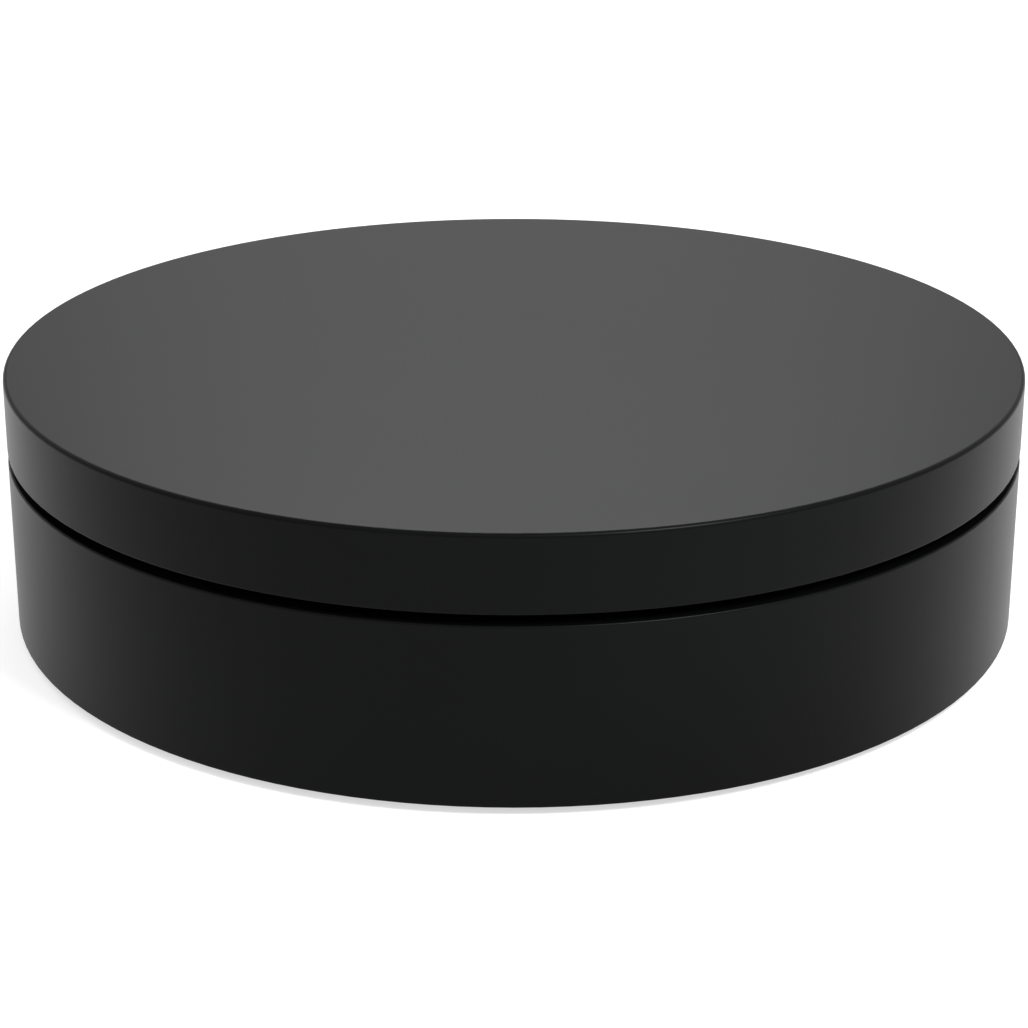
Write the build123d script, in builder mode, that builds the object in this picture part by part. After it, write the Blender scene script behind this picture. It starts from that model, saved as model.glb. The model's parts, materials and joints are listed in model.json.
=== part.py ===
"""Motorised turntable display stand: a black drum whose top plate turns on four rollers.

Millimetres, +Z up. The origin is on the floor under the centre of the plate. The switch and the
power inlet are at the back, towards +Y.
"""

import os
from math import acos, atan2, cos, pi, radians, sin, sqrt, tan

from build123d import *

# ---------------------------------------------------------------- driving dimensions
stand_radius = 100.0
foot_proud = 1.6
base_height = 33.9
shadow_gap = 1.9
plate_height = 14.6

base_bottom = foot_proud
base_top = base_bottom + base_height
plate_bottom = base_top + shadow_gap
plate_top = plate_bottom + plate_height

# moulded walls
wall = 3.0
deck_thickness = 2.6
plate_skin = 3.0
edge_round = 0.8
small_round = 0.4
deck_underside = base_top - deck_thickness
plate_underside = plate_top - plate_skin
cover_thickness = 2.6
cover_top = base_bottom + cover_thickness

# rollers and the track that they carry
roller_count = 4
roller_angles = [45.0 + 90.0 * n for n in range(roller_count)]
roller_circle = 78.0
roller_radius = 6.5
roller_width = 7.0
roller_axle_z = base_top + 2.9
track_width = 10.0
track_z = roller_axle_z + roller_radius + 0.1
roller_pin_radius = 1.0
running_clearance = 0.05
still_clearance = 0.01

# gearbox: a box on the underside of the deck, its output shaft on the stand's axis
gearbox_width = 34.0
gearbox_front = -35.0
gearbox_back = 14.0
gearbox_wall = 2.0
gearbox_lid_thickness = 1.6
gearbox_standoff = 1.5
gearbox_top = deck_underside - gearbox_standoff
gearbox_bottom = gearbox_top - 23.0
gearbox_inner_top = gearbox_top - gearbox_lid_thickness
gearbox_floor = gearbox_bottom + gearbox_wall
gearbox_middle = (gearbox_front + gearbox_back) / 2
gearbox_length = gearbox_back - gearbox_front
gearbox_screw_inset = 3.0
gearbox_ear_x = gearbox_width / 2 + 4.0
gearbox_ear_spacing = 36.0

# gear train, from the plate back to the motor; the motor lies along -Y
gear_module = 0.5
pressure_angle = radians(20)
tooth_thinning = 0.08
addendum = 0.85 * gear_module
dedendum = 1.25 * gear_module
output_teeth = 42
idler_pinion_teeth = 12
idler_teeth = 34
worm_gear_pinion_teeth = 12
worm_gear_teeth = 28
gear_pin_radius = 1.0
gear_bore_radius = gear_pin_radius + running_clearance

# worm, in line with the motor
worm_pitch_radius = 2.75
worm_tip_radius = 3.2
worm_core_radius = 2.0
worm_thread_thickness = 0.5
worm_lead = pi * gear_module
worm_z = (gearbox_bottom + gearbox_top) / 2

# shaft that carries the plate
shaft_radius = 3.0
shaft_flat = 2.5
shaft_bottom = gearbox_bottom - 2.0
shaft_top = plate_underside - 3.4
journal_radius = 2.5

# brushed motor with a 24.4 mm can
motor_radius = 12.2
motor_length = 30.8
motor_shaft_radius = 1.0

# recess at the back with the switch and the inlet
recess_face = 95.3
recess_width = 50.0
recess_height = 21.0
recess_z = (base_bottom + base_top) / 2 - 0.5
panel_thickness = 3.0
panel_inner = recess_face - panel_thickness
switch_x = -10.5
jack_x = 14.5

# screws that close the base
cover_screw_circle = 88.0
cover_screw_count = 6
cover_boss_top = cover_top + 1.2

foot_radius = 8.0
foot_thickness = 2.8
foot_circle = 82.0
foot_count = 4


def polar(radius, angle):
    """The point at this radius and angle in degrees, as x and y."""
    return radius * cos(radians(angle)), radius * sin(radians(angle))


def write_part(part, name):
    """Labels a finished piece and writes it as the node of that name."""
    part.label = name
    export_step(part, f"parts/{name}.step")


os.makedirs("parts", exist_ok=True)

# ---------------------------------------------------------------- turntable plate
# A moulded disc with a skirt. Its underside has a flat track for the rollers, radial ribs and a
# central boss that the drive hub is screwed to.
hub_boss_radius = 15.0
hub_boss_z = plate_underside - 3.0
hub_screw_circle = 9.6
hub_screw_count = 4
rib_count = 12
rib_thickness = 1.6
rib_bottom = plate_underside - 3.0
ring_rib_radius = 45.0
rib_sink = 0.5
skirt_inner = stand_radius - wall
rib_reach = skirt_inner - hub_boss_radius + 2
hub_screw_pilot_radius = 1.25
hub_screw_hole_depth = 4.6

with BuildPart() as turntable_plate:
    with BuildSketch(Plane.XZ) as plate_profile:
        with BuildLine():
            Polyline(
                (0, plate_top),
                (stand_radius, plate_top),
                (stand_radius, plate_bottom),
                (skirt_inner, plate_bottom),
                (skirt_inner, plate_underside),
                (roller_circle + track_width / 2, plate_underside),
                (roller_circle + track_width / 2, track_z),
                (roller_circle - track_width / 2, track_z),
                (roller_circle - track_width / 2, plate_underside),
                (hub_boss_radius, plate_underside),
                (hub_boss_radius, hub_boss_z),
                (0, hub_boss_z),
                close=True,
            )
        make_face()
    revolve(axis=Axis.Z)
    with BuildSketch(Plane.XY.offset(rib_bottom)) as plate_ribs:
        Circle(ring_rib_radius + rib_thickness / 2)
        Circle(ring_rib_radius - rib_thickness / 2, mode=Mode.SUBTRACT)
        with PolarLocations((skirt_inner + hub_boss_radius) / 2, rib_count):
            Rectangle(rib_reach, rib_thickness)
    extrude(amount=plate_underside - rib_bottom + rib_sink)
    with BuildSketch(Plane.XY.offset(hub_boss_z)) as hub_screw_holes:
        with PolarLocations(hub_screw_circle, hub_screw_count, start_angle=45):
            Circle(hub_screw_pilot_radius)
    extrude(amount=hub_screw_hole_depth, mode=Mode.SUBTRACT)
    outer_edges = turntable_plate.edges().filter_by(GeomType.CIRCLE).group_by(SortBy.RADIUS)[-1]
    fillet(outer_edges.sort_by(Axis.Z)[-1], edge_round)
    outer_edges = turntable_plate.edges().filter_by(GeomType.CIRCLE).group_by(SortBy.RADIUS)[-1]
    fillet(outer_edges.sort_by(Axis.Z)[0], small_round)
write_part(turntable_plate.part, "turntable_plate")

# ---------------------------------------------------------------- drive hub, its screws and roll pin
# A flanged hub with a D-shaped bore. Screws hold it to the plate and a roll pin to the shaft.
hub_flange_radius = 13.0
hub_flange_thickness = 2.4
hub_flange_z = hub_boss_z - hub_flange_thickness
hub_barrel_radius = 6.5
hub_bottom = base_top + 2.1
roll_pin_z = (hub_bottom + hub_flange_z) / 2
hub_bore_clearance = 0.02
hub_screw_clearance_radius = 1.7
roll_pin_radius = 1.0
roll_pin_bore_radius = 0.5
roll_pin_inset = 0.2


def d_shape(radius, flat):
    """A circle cut by a flat on its +X side, in the current sketch."""
    half = sqrt(radius**2 - flat**2)
    with BuildLine() as outline:
        ThreePointArc((flat, half), (-radius, 0), (flat, -half))
        Line((flat, -half), (flat, half))
    make_face(outline.edges())


with BuildPart() as drive_hub:
    with BuildSketch(Plane.XY.offset(hub_bottom)) as hub_barrel:
        Circle(hub_barrel_radius)
    extrude(amount=hub_boss_z - hub_bottom)
    with BuildSketch(Plane.XY.offset(hub_flange_z)) as hub_flange:
        Circle(hub_flange_radius)
    extrude(amount=hub_flange_thickness)
    with BuildSketch(Plane.XY.offset(hub_bottom)) as hub_bore:
        d_shape(shaft_radius + hub_bore_clearance, shaft_flat + hub_bore_clearance)
    extrude(amount=hub_boss_z - hub_bottom, mode=Mode.SUBTRACT)
    with BuildSketch(Plane.XY.offset(hub_flange_z)) as hub_clear_holes:
        with PolarLocations(hub_screw_circle, hub_screw_count, start_angle=45):
            Circle(hub_screw_clearance_radius)
    extrude(amount=hub_flange_thickness, mode=Mode.SUBTRACT)
    with BuildSketch(Plane.XZ.offset(-hub_barrel_radius - 1)) as hub_pin_hole:
        with Locations((0, roll_pin_z)):
            Circle(roll_pin_radius)
    extrude(amount=2 * hub_barrel_radius + 2, mode=Mode.SUBTRACT)
write_part(drive_hub.part, "drive_hub")


def pan_screws(plane, points, head_radius, head_height, shank_radius, shank_length):
    """Cross-head screws whose heads stand on the plane and whose shanks run along its -Z."""
    with BuildPart() as screws:
        with BuildSketch(plane) as heads:
            with Locations(*points):
                Circle(head_radius)
        extrude(amount=head_height)
        top_edges = screws.edges().filter_by(GeomType.CIRCLE).filter_by(
            lambda edge: abs(plane.to_local_coords(edge.center()).Z - head_height) < 0.01
        )
        fillet(top_edges, head_height * 0.45)
        with BuildSketch(plane) as shanks:
            with Locations(*points):
                Circle(shank_radius)
        extrude(amount=-shank_length)
        with BuildSketch(plane.offset(head_height)) as crosses:
            with Locations(*points):
                Rectangle(head_radius * 1.1, head_radius * 0.24)
                Rectangle(head_radius * 0.24, head_radius * 1.1)
        extrude(amount=-head_height * 0.6, mode=Mode.SUBTRACT)
    return screws.part


underside_of_flange = Plane(origin=(0, 0, hub_flange_z), x_dir=(1, 0, 0), z_dir=(0, 0, -1))
hub_screw_points = [
    polar(hub_screw_circle, 45 + 360 / hub_screw_count * n) for n in range(hub_screw_count)
]
hub_screws = pan_screws(
    underside_of_flange,
    hub_screw_points,
    head_radius=2.7,
    head_height=1.8,
    shank_radius=1.2,
    shank_length=6.6,
)
write_part(hub_screws, "hub_screws")

with BuildPart() as hub_roll_pin:
    with BuildSketch(Plane.XZ.offset(-hub_barrel_radius + roll_pin_inset)) as roll_pin_section:
        with Locations((0, roll_pin_z)):
            Circle(roll_pin_radius - still_clearance)
            Circle(roll_pin_bore_radius, mode=Mode.SUBTRACT)
    extrude(amount=2 * hub_barrel_radius - 2 * roll_pin_inset)
write_part(hub_roll_pin.part, "hub_roll_pin")

# ---------------------------------------------------------------- output shaft, clip and washer
# A stepped steel shaft: a thin journal in the lower bush, a D-shaped seat for the output gear, a
# round length through the upper bush and a D-shaped end in the hub.
seat_bottom = gearbox_floor + 0.8
seat_top = seat_bottom + 5.0
groove_z = gearbox_bottom - 1.2
groove_height = 0.7
groove_radius = 2.0
clip_play = 0.05
clip_radius = 4.4
clip_opening = 2.4
washer_radius = 4.8
washer_thickness = 0.4

with BuildPart() as output_shaft:
    with BuildSketch(Plane.XY.offset(shaft_bottom)) as journal:
        Circle(journal_radius)
    extrude(amount=seat_bottom - shaft_bottom)
    with BuildSketch(Plane.XY.offset(seat_bottom)) as gear_seat:
        d_shape(shaft_radius, shaft_flat)
    extrude(amount=seat_top - seat_bottom)
    with BuildSketch(Plane.XY.offset(seat_top)) as round_length:
        Circle(shaft_radius)
    extrude(amount=base_top - seat_top)
    with BuildSketch(Plane.XY.offset(base_top)) as hub_seat:
        d_shape(shaft_radius, shaft_flat)
    extrude(amount=shaft_top - base_top)
    with BuildSketch(Plane.XY.offset(groove_z)) as clip_groove:
        Circle(journal_radius + 1)
        Circle(groove_radius, mode=Mode.SUBTRACT)
    extrude(amount=groove_height, mode=Mode.SUBTRACT)
    with BuildSketch(Plane.XZ.offset(-shaft_radius - 1)) as shaft_pin_hole:
        with Locations((0, roll_pin_z)):
            Circle(roll_pin_radius)
    extrude(amount=2 * shaft_radius + 2, mode=Mode.SUBTRACT)
write_part(output_shaft.part, "output_shaft")

with BuildPart() as shaft_circlip:
    with BuildSketch(Plane.XY.offset(groove_z + clip_play)) as clip_outline:
        Circle(clip_radius)
        Circle(groove_radius + still_clearance, mode=Mode.SUBTRACT)
        with Locations((3, 0)):
            Rectangle(6, clip_opening, mode=Mode.SUBTRACT)
    extrude(amount=groove_height - 2 * clip_play)
write_part(shaft_circlip.part, "shaft_circlip")

with BuildPart() as thrust_washer:
    with BuildSketch(Plane.XY.offset(groove_z + groove_height)) as washer_outline:
        Circle(washer_radius)
        Circle(journal_radius + running_clearance, mode=Mode.SUBTRACT)
    extrude(amount=washer_thickness)
write_part(thrust_washer.part, "thrust_washer")


# ---------------------------------------------------------------- gear train
def involute(angle):
    """The involute function: tangent less angle, in radians."""
    return tan(angle) - angle


def tooth_outline(teeth, phase):
    """A spur gear's outline, one tooth centred on the phase angle in radians.

    Each flank follows the involute: at radius r the tooth's half angle is its half angle at the
    pitch circle plus inv(pressure angle) less inv(acos(base radius / r)).
    """
    pitch_radius = teeth * gear_module / 2
    base_radius = pitch_radius * cos(pressure_angle)
    root_radius = pitch_radius - dedendum
    tip_radius = pitch_radius + addendum
    flank_start = max(base_radius, root_radius)
    half_at_pitch = (pi * gear_module / 2 - tooth_thinning) / (2 * pitch_radius)
    steps = 4
    flank = []
    for step in range(steps + 1):
        r = flank_start + (tip_radius - flank_start) * step / steps
        half = half_at_pitch + involute(pressure_angle) - involute(acos(base_radius / r))
        flank.append((r, half))
    if root_radius < base_radius:
        flank.insert(0, (root_radius, flank[0][1]))
    points = []
    for tooth in range(teeth):
        centre = phase + 2 * pi * tooth / teeth
        for r, half in flank:
            points.append((r * cos(centre - half), r * sin(centre - half)))
        for r, half in reversed(flank):
            points.append((r * cos(centre + half), r * sin(centre + half)))
    return points


def meshing_phase(phase, teeth, other_teeth, direction):
    """The phase of a gear that meshes with one of the given phase, in that direction from it."""
    ahead = (phase - direction) / (2 * pi / teeth)
    return direction + pi + 2 * pi / other_teeth * (0.5 - ahead)


def gear_layer(centre, z, height, teeth, phase):
    """Adds a gear wheel to the current part."""
    with BuildSketch(Plane((*centre, z))) as layer:
        with BuildLine():
            Polyline(*tooth_outline(teeth, phase), close=True)
        make_face()
    extrude(layer.sketch, amount=height)


output_to_idler = (output_teeth + idler_pinion_teeth) * gear_module / 2
idler_to_worm_gear = (idler_teeth + worm_gear_pinion_teeth) * gear_module / 2
wheel_pitch_radius = worm_gear_teeth * gear_module / 2
worm_x = 3.8
idler_x = -4.0
idler_point = (idler_x, -sqrt(output_to_idler**2 - idler_x**2))
worm_gear_x = worm_x - worm_pitch_radius - wheel_pitch_radius
worm_gear_point = (
    worm_gear_x,
    idler_point[1] - sqrt(idler_to_worm_gear**2 - (worm_gear_x - idler_x) ** 2),
)

idler_direction = atan2(idler_point[1], idler_point[0])
worm_gear_direction = atan2(
    worm_gear_point[1] - idler_point[1], worm_gear_point[0] - idler_point[0]
)
idler_pinion_phase = meshing_phase(0, output_teeth, idler_pinion_teeth, idler_direction)
worm_gear_pinion_phase = meshing_phase(
    0, idler_teeth, worm_gear_pinion_teeth, worm_gear_direction
)

output_gear_z = seat_bottom + 0.1
output_gear_height = 4.5
output_sleeve_radius = 4.0
output_sleeve_top = gearbox_inner_top - 1.9
idler_pinion_z = output_gear_z - 0.3
idler_pinion_height = 5.1
idler_z = worm_z + worm_tip_radius + 0.9
idler_height = 3.0
worm_gear_height = 4.0
worm_gear_z = worm_z - worm_gear_height / 2
pinion_overlap = 0.3
idler_waist_radius = 1.9
worm_gear_hub_radius = 2.3
worm_gear_hub_drop = 1.0
worm_gear_hub_z = worm_gear_z - worm_gear_hub_drop
worm_gear_hub_height = idler_z + idler_height + pinion_overlap - worm_gear_hub_z
pin_foot_depth = 1.2
pin_head_depth = 1.0

with BuildPart() as output_gear:
    gear_layer((0, 0), output_gear_z, output_gear_height, output_teeth, 0)
    with BuildSketch(Plane.XY.offset(output_gear_z)) as output_sleeve:
        Circle(output_sleeve_radius)
    extrude(amount=output_sleeve_top - output_gear_z)
    with BuildSketch(Plane.XY.offset(output_gear_z)) as output_seat:
        d_shape(shaft_radius + hub_bore_clearance, shaft_flat + hub_bore_clearance)
    extrude(amount=seat_top - output_gear_z, mode=Mode.SUBTRACT)
    with BuildSketch(Plane.XY.offset(seat_top)) as output_bore:
        Circle(shaft_radius + hub_bore_clearance)
    extrude(amount=output_sleeve_top - seat_top, mode=Mode.SUBTRACT)
write_part(output_gear.part, "output_gear")

with BuildPart() as idler_gear:
    gear_layer(
        idler_point, idler_pinion_z, idler_pinion_height, idler_pinion_teeth, idler_pinion_phase
    )
    gear_layer(idler_point, idler_z, idler_height, idler_teeth, 0)
    with BuildSketch(Plane((*idler_point, idler_pinion_z))) as idler_waist:
        Circle(idler_waist_radius)
    extrude(amount=idler_z + idler_height - idler_pinion_z)
    with BuildSketch(Plane((*idler_point, idler_pinion_z))) as idler_bore:
        Circle(gear_bore_radius)
    extrude(amount=idler_z + idler_height - idler_pinion_z, mode=Mode.SUBTRACT)
write_part(idler_gear.part, "idler_gear")


def helical_layer(centre, z, height, teeth, phase, twist):
    """Adds a gear wheel whose teeth turn by the twist, in radians, over its height."""
    faces = []
    for level, turn in ((z, -twist / 2), (z + height, twist / 2)):
        with BuildSketch(Plane((*centre, level))) as layer:
            with BuildLine():
                Polyline(*tooth_outline(teeth, phase + turn), close=True)
            make_face()
        faces.append(layer.sketch.face())
    loft(faces, ruled=True)


# the thread's direction where it meets the wheel, so that the teeth lie along it
worm_gear_twist = worm_gear_height * worm_lead / (2 * pi * worm_pitch_radius) / wheel_pitch_radius

with BuildPart() as worm_gear:
    helical_layer(
        worm_gear_point, worm_gear_z, worm_gear_height, worm_gear_teeth, 0, worm_gear_twist
    )
    with BuildSketch(Plane((*worm_gear_point, worm_gear_hub_z))) as worm_gear_hub:
        Circle(worm_gear_hub_radius)
    extrude(amount=worm_gear_hub_height)
    gear_layer(
        worm_gear_point,
        idler_z - pinion_overlap,
        idler_height + 2 * pinion_overlap,
        worm_gear_pinion_teeth,
        worm_gear_pinion_phase,
    )
    with BuildSketch(Plane((*worm_gear_point, worm_gear_hub_z))) as worm_gear_bore:
        Circle(gear_bore_radius)
    extrude(amount=worm_gear_hub_height, mode=Mode.SUBTRACT)
write_part(worm_gear.part, "worm_gear")

for gear_pin_name, gear_pin_point in (
    ("idler_pin", idler_point),
    ("worm_gear_pin", worm_gear_point),
):
    with BuildPart() as gear_pin:
        pin_foot_z = gearbox_floor - pin_foot_depth
        with BuildSketch(Plane((*gear_pin_point, pin_foot_z))) as gear_pin_section:
            Circle(gear_pin_radius)
        extrude(amount=gearbox_inner_top + pin_head_depth - pin_foot_z)
    write_part(gear_pin.part, gear_pin_name)

# ---------------------------------------------------------------- worm
# A brass single-start right-hand worm pressed on the motor's shaft. The motor's axis runs along
# -Y, and the thread leaves a gap where a tooth of the worm gear stands at mid height.
worm_y = worm_gear_point[1]
worm_length = 11.0
worm_shaft_bore = motor_shaft_radius + still_clearance


def motor_plane(y):
    """The plane across the motor's axis at this y, its normal towards the motor."""
    return Plane(origin=(worm_x, y, worm_z), x_dir=(-1, 0, 0), z_dir=(0, -1, 0))


# an odd number of turns, centred, so that the thread stands half a lead to each side of the tooth
worm_turns = 5
worm_flank_slope = 0.36
thread_sink = 0.3
worm_foot_radius = worm_core_radius - thread_sink
worm_foot_half = (
    worm_thread_thickness / 2 + (worm_pitch_radius - worm_foot_radius) * worm_flank_slope
)
worm_tip_half = worm_thread_thickness / 2 - (worm_tip_radius - worm_pitch_radius) * worm_flank_slope

with BuildPart() as worm_thread:
    with BuildLine() as worm_path:
        Helix(worm_lead, worm_turns * worm_lead, worm_core_radius)
    with BuildSketch(Plane.XZ) as worm_section:
        with BuildLine():
            Polyline(
                (worm_foot_radius, -worm_foot_half),
                (worm_tip_radius, -worm_tip_half),
                (worm_tip_radius, worm_tip_half),
                (worm_foot_radius, worm_foot_half),
                close=True,
            )
        make_face()
    sweep(path=worm_path.line, is_frenet=True)

with BuildPart() as worm:
    with BuildSketch(motor_plane(worm_y + worm_length / 2)) as worm_core:
        Circle(worm_core_radius)
    extrude(amount=worm_length)
    with Locations(motor_plane(worm_y).offset(-worm_turns * worm_lead / 2)):
        add(worm_thread.part)
    with BuildSketch(motor_plane(worm_y + worm_length / 2)) as worm_bore:
        Circle(worm_shaft_bore)
    extrude(amount=worm_length, mode=Mode.SUBTRACT)
write_part(worm.part, "worm")

# ---------------------------------------------------------------- motor
# A brushed motor: a drawn steel can with two magnets, a three-pole rotor, and a plastic end cap
# that holds the brushes and the terminals.
motor_face = gearbox_front
can_thickness = 0.9
can_inner = motor_radius - can_thickness
can_end = motor_face - motor_length
motor_boss_radius = 3.5
motor_boss_length = 1.5
motor_screw_offset = 5.5
motor_screw_radius = 1.25
magnet_inner_radius = 9.3
magnet_gap = 9.0
magnet_start = motor_face - 3.5
magnet_length = 20.0
rotor_start = motor_face - 5.0
rotor_length = 17.0
rotor_radius = 8.9
pole_count = 3
pole_shoe_thickness = 1.6
pole_shoe_gap = 2.4
pole_neck_width = 3.2
rotor_core_radius = 3.0
coil_circle = 5.1
coil_depth = 3.3
coil_width = 5.0
coil_end = 1.6
commutator_start = rotor_start - rotor_length - 2.5
commutator_length = 4.0
commutator_radius = 3.2
commutator_slot = 0.4
cap_start = can_end + 2.0
cap_rim = 1.0
cap_boss_length = 2.6
brush_guide_height = 3.4
brush_size = 2.0
brush_width = 2.4
terminal_offset = 7.0
terminal_thickness = 0.5
terminal_width = 3.0
terminal_end = can_end - 6.0
motor_shaft_start = worm_y + worm_length / 2 + 0.5
motor_shaft_end = can_end - 1.8

with BuildPart() as motor_can:
    with BuildSketch(motor_plane(motor_face)) as can_outside:
        Circle(motor_radius)
    extrude(amount=motor_length)
    front_edge = motor_can.edges().filter_by(GeomType.CIRCLE).sort_by(Axis.Y)[-1]
    fillet(front_edge, 0.8)
    with BuildSketch(motor_plane(motor_face - can_thickness)) as can_inside:
        Circle(can_inner)
    extrude(amount=motor_length - can_thickness, mode=Mode.SUBTRACT)
    with BuildSketch(motor_plane(motor_face + motor_boss_length)) as can_boss:
        Circle(motor_boss_radius)
    extrude(amount=can_thickness + 2 * motor_boss_length)
    with BuildSketch(motor_plane(motor_face + motor_boss_length)) as can_bearing:
        Circle(motor_shaft_radius + running_clearance)
    extrude(amount=can_thickness + 2 * motor_boss_length, mode=Mode.SUBTRACT)
    with BuildSketch(motor_plane(motor_face)) as can_screw_holes:
        with Locations(
            (motor_screw_offset, motor_screw_offset), (-motor_screw_offset, -motor_screw_offset)
        ):
            Circle(motor_screw_radius + still_clearance)
    extrude(amount=can_thickness, mode=Mode.SUBTRACT)
write_part(motor_can.part, "motor_can")

with BuildPart() as motor_magnets:
    with BuildSketch(motor_plane(magnet_start)) as magnet_arcs:
        Circle(can_inner - still_clearance)
        Circle(magnet_inner_radius, mode=Mode.SUBTRACT)
        Rectangle(2 * can_inner, magnet_gap, mode=Mode.SUBTRACT)
    extrude(amount=magnet_length)
write_part(motor_magnets.part, "motor_magnets")

with BuildPart() as motor_shaft:
    with BuildSketch(motor_plane(motor_shaft_start)) as shaft_section:
        Circle(motor_shaft_radius)
    extrude(amount=motor_shaft_start - motor_shaft_end)
write_part(motor_shaft.part, "motor_shaft")

with BuildPart() as motor_armature:
    with BuildSketch(motor_plane(rotor_start)) as pole_section:
        Circle(rotor_radius)
        Circle(rotor_radius - pole_shoe_thickness, mode=Mode.SUBTRACT)
        with PolarLocations(rotor_radius, pole_count, start_angle=30):
            Rectangle(6, pole_shoe_gap, mode=Mode.SUBTRACT)
        with PolarLocations(rotor_radius / 2 - 0.2, pole_count, start_angle=90):
            Rectangle(rotor_radius - 1.2, pole_neck_width)
        Circle(rotor_core_radius)
        Circle(motor_shaft_radius + still_clearance, mode=Mode.SUBTRACT)
    extrude(amount=rotor_length)
write_part(motor_armature.part, "motor_armature")

with BuildPart() as motor_windings:
    with BuildSketch(motor_plane(rotor_start + coil_end)) as coil_blocks:
        with PolarLocations(coil_circle, pole_count, start_angle=90):
            Rectangle(coil_depth, coil_width)
    extrude(amount=rotor_length + 2 * coil_end)
    with BuildSketch(motor_plane(rotor_start)) as coil_cores:
        with PolarLocations(coil_circle, pole_count, start_angle=90):
            Rectangle(coil_depth, pole_neck_width + 2 * still_clearance)
    extrude(amount=rotor_length, mode=Mode.SUBTRACT)
write_part(motor_windings.part, "motor_windings")

with BuildPart() as motor_commutator:
    with BuildSketch(motor_plane(commutator_start)) as commutator_section:
        Circle(commutator_radius)
        with PolarLocations(commutator_radius, pole_count, start_angle=30):
            Rectangle(1.2, commutator_slot, mode=Mode.SUBTRACT)
        Circle(motor_shaft_radius + still_clearance, mode=Mode.SUBTRACT)
    extrude(amount=commutator_length)
write_part(motor_commutator.part, "motor_commutator")

with BuildPart() as motor_end_cap:
    with BuildSketch(motor_plane(cap_start)) as cap_plug:
        Circle(can_inner - still_clearance)
    extrude(amount=cap_start - can_end)
    with BuildSketch(motor_plane(can_end)) as cap_flange:
        Circle(motor_radius)
    extrude(amount=cap_rim)
    with BuildSketch(motor_plane(can_end)) as cap_boss:
        Circle(3.2)
    extrude(amount=cap_boss_length)
    with BuildSketch(motor_plane(cap_start)) as cap_bearing:
        Circle(motor_shaft_radius + running_clearance)
    extrude(amount=cap_start - can_end + 2.2, mode=Mode.SUBTRACT)
    with BuildSketch(motor_plane(cap_start + brush_guide_height)) as brush_guides:
        with Locations((terminal_offset, 0), (-terminal_offset, 0)):
            Rectangle(3.0, 4.4)
    extrude(amount=brush_guide_height)
    with BuildSketch(motor_plane(cap_start + brush_guide_height)) as terminal_slots:
        with Locations((terminal_offset, 0), (-terminal_offset, 0)):
            Rectangle(
                terminal_thickness + 2 * still_clearance, terminal_width + 2 * still_clearance
            )
    extrude(amount=cap_start + brush_guide_height - can_end + cap_rim, mode=Mode.SUBTRACT)
write_part(motor_end_cap.part, "motor_end_cap")

# each terminal runs through the cap, and a carbon brush on its inner side rests on the commutator
brush_y = commutator_start - commutator_length / 2
with BuildPart() as motor_brushes:
    with BuildSketch(motor_plane(brush_y + brush_size / 2)) as brush_blocks:
        brush_inner = commutator_radius + running_clearance
        brush_outer = terminal_offset - 1.5 - still_clearance
        for side in (-1, 1):
            with Locations((side * (brush_inner + brush_outer) / 2, 0)):
                Rectangle(brush_outer - brush_inner, brush_width)
    extrude(amount=brush_size)
write_part(motor_brushes.part, "motor_brushes")

with BuildPart() as motor_terminals:
    with BuildSketch(motor_plane(cap_start + 3.0)) as terminal_tabs:
        with Locations((terminal_offset, 0), (-terminal_offset, 0)):
            Rectangle(terminal_thickness, terminal_width)
    extrude(amount=cap_start + 3.0 - terminal_end)
write_part(motor_terminals.part, "motor_terminals")

motor_screw_plane = Plane(
    origin=(worm_x, gearbox_front + gearbox_wall, worm_z), x_dir=(1, 0, 0), z_dir=(0, 1, 0)
)
motor_screws = pan_screws(
    motor_screw_plane,
    [
        (-motor_screw_offset, motor_screw_offset),
        (motor_screw_offset, -motor_screw_offset),
    ],
    head_radius=2.0,
    head_height=1.4,
    shank_radius=motor_screw_radius,
    shank_length=gearbox_wall + 2.4,
)
write_part(motor_screws, "motor_screws")

# ---------------------------------------------------------------- gearbox housing, lid and bushes
# A moulded box, open at the top. Ears on its sides meet standoffs under the deck. The gear pins
# stand in its floor and its lid, and bronze bushes carry the output shaft.
gearbox_inner_width = gearbox_width - 2 * gearbox_wall
gearbox_screw_x = gearbox_width - 2 * gearbox_screw_inset
gearbox_screw_y = gearbox_length - 2 * gearbox_screw_inset
gearbox_screw_radius = 1.2
gearbox_screw_depth = 9.0
gearbox_corner = 2.5
gearbox_post_radius = 2.6
ear_radius = 3.6
ear_thickness = 4.0
ear_hole_radius = 1.7
mount_screw_radius = 1.4
lid_hole_radius = 1.45
lower_bush_radius = 4.2
lower_bush_flange = 0.7
upper_bush_radius = 5.0
upper_bush_flange = 6.0
upper_bush_top = deck_underside + 0.1

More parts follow.
